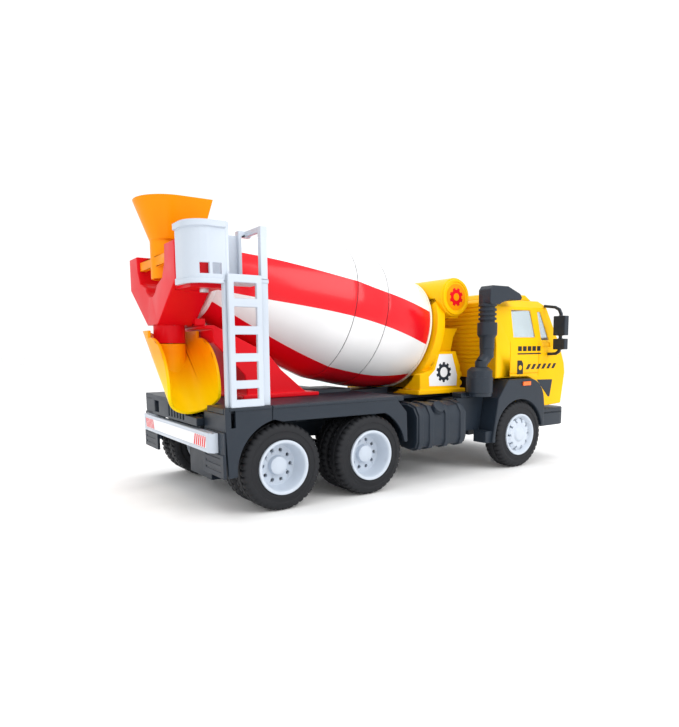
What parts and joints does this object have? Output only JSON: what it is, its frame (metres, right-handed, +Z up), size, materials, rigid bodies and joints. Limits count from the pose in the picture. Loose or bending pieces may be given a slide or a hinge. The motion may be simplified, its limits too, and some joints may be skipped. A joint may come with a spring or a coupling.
{
  "type": "toy cement mixer truck",
  "caption": "Toy cement mixer truck with a turning striped drum, funnel hopper, swinging discharge chute, side ladder and a friction motor on its wheels.",
  "frame": {"origin": "on the ground under the middle of the bounding box", "axes": "+X towards the truck's front, +Y towards its left side, +Z up"},
  "size_m": [0.26, 0.132, 0.1436],
  "materials": {
    "slate_plastic": "satin moulded plastic",
    "cab_yellow": "glossy moulded plastic",
    "mixer_red": "glossy moulded plastic",
    "hopper_orange": "glossy moulded plastic",
    "chute_yellow": "glossy moulded plastic",
    "silver_plastic": "silver-white moulded plastic",
    "drum_white": "glossy white with red stripes",
    "tyre": "ribbed rubbery plastic tread",
    "steel": "plain bright steel",
    "nylon": "natural nylon",
    "window_clear": "clear moulded plastic",
    "lamp_clear": "clear lens over a pale reflector",
    "reflector_orange": "orange lens",
    "interior_black": "black moulded plastic"
  },
  "bodies": {
    "chassis": {"chassis_frame": "slate_plastic", "underside_cover": "slate_plastic", "rear_deck": "slate_plastic", "skirt_right": "slate_plastic", "skirt_left": "slate_plastic", "tail_beam": "slate_plastic", "rear_bumper": "silver_plastic", "mud_flaps": "slate_plastic", "side_tank_right": "slate_plastic", "side_tank_left": "slate_plastic", "front_fender_right": "slate_plastic", "front_fender_left": "slate_plastic", "front_bumper": "slate_plastic", "reflectors": "reflector_orange", "cab_shell": "cab_yellow", "cab_roof": "cab_yellow", "windscreen": "window_clear", "side_windows": "window_clear", "cab_seats": "interior_black", "steering_wheel": "interior_black", "front_grille": "slate_plastic", "headlamps": "lamp_clear", "intake_stack": "slate_plastic", "air_filter": "slate_plastic", "mirror_right": "slate_plastic", "mirror_left": "slate_plastic", "front_pedestal": "cab_yellow", "water_tank": "cab_yellow", "shaft_bush": "nylon", "rear_stand": "mixer_red", "collector": "mixer_red", "hopper": "hopper_orange", "chute_screw": "steel", "platform_guard": "silver_plastic", "ladder": "silver_plastic", "motor_housing": "interior_black", "screws": "steel"},
    "front_wheels": {"front_axle": "steel", "rim_front_right": "silver_plastic", "rim_front_left": "silver_plastic", "tyre_front_right": "tyre", "tyre_front_left": "tyre"},
    "mid_wheels": {"mid_axle": "steel", "rim_mid_right": "silver_plastic", "rim_mid_left": "silver_plastic", "tyres_mid_right": "tyre", "tyres_mid_left": "tyre"},
    "rear_wheels": {"rear_axle": "steel", "rim_rear_right": "silver_plastic", "rim_rear_left": "silver_plastic", "tyres_rear_right": "tyre", "tyres_rear_left": "tyre", "axle_gear": "nylon"},
    "idler": {"idler_gear": "nylon"},
    "flywheel": {"flywheel": "steel"},
    "drum": {"drum_front": "drum_white", "drum_belly": "drum_white", "drum_rear": "drum_white", "drum_shaft": "steel"},
    "chute": {"chute": "chute_yellow"}
  },
  "joints": [
    {"name": "front_axle_spin", "type": "hinge", "parent": "chassis", "child": "front_wheels", "pos_m": [0.0782, 0, 0.02], "axis": [0, 1, 0], "continuous": true},
    {"name": "mid_axle_spin", "type": "hinge", "parent": "chassis", "child": "mid_wheels", "pos_m": [-0.035, 0, 0.02], "axis": [0, 1, 0], "continuous": true},
    {"name": "rear_axle_spin", "type": "hinge", "parent": "chassis", "child": "rear_wheels", "pos_m": [-0.0845, 0, 0.02], "axis": [0, 1, 0], "continuous": true},
    {"name": "idler_spin", "type": "hinge", "parent": "chassis", "child": "idler", "pos_m": [-0.07555, 0, 0.02604], "axis": [0, 1, 0], "continuous": true},
    {"name": "flywheel_spin", "type": "hinge", "parent": "chassis", "child": "flywheel", "pos_m": [-0.0654, 0, 0.02235], "axis": [0, 1, 0], "continuous": true},
    {"name": "drum_spin", "type": "hinge", "parent": "chassis", "child": "drum", "pos_m": [0.0277, 0, 0.0814], "axis": [-0.9763, 0, 0.2164], "continuous": true},
    {"name": "chute_swivel", "type": "hinge", "parent": "chassis", "child": "chute", "pos_m": [-0.1155, 0, 0.075], "axis": [0, 0, 1], "range_deg": [-150, 0]}
  ],
  "couplings": [
    {"joint": "idler_spin", "follows": "rear_axle_spin", "ratio": -2},
    {"joint": "flywheel_spin", "follows": "rear_axle_spin", "ratio": 4}
  ]
}
